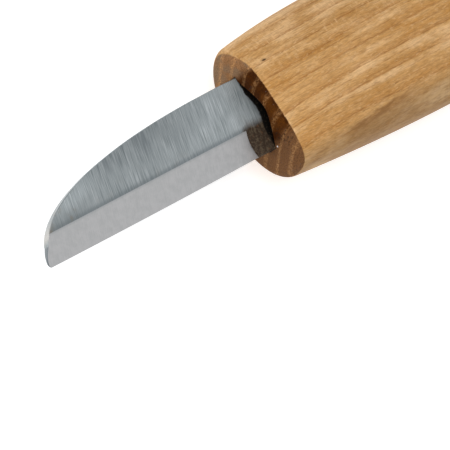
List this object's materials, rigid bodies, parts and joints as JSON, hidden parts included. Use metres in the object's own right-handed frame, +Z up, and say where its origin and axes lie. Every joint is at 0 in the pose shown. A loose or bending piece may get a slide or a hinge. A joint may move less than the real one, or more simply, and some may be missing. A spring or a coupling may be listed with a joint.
{
  "type": "whittling knife",
  "caption": "Fixed-blade whittling knife: short beveled steel blade with a rounded spine, glued by its tang into a swelling one-piece oval wooden handle.",
  "frame": {"origin": "middle of the bounding box on the surface that the knife lies on", "axes": "+X along the knife from the tip to the butt, cutting edge toward -Y and spine toward +Y, +Z up, square to the blade's flats, with the knife lying on its right flank"},
  "size_m": [0.162, 0.0314, 0.0215],
  "materials": {
    "blade_steel": "satin ground flats, finely polished bevel, dark scale at the shoulder",
    "handle_wood": "sanded and oiled ash, darker on the end grain",
    "glue": "set dark epoxy"
  },
  "bodies": {
    "root": {"blade": "blade_steel", "handle": "handle_wood", "tang_glue": "glue"}
  },
  "joints": []
}
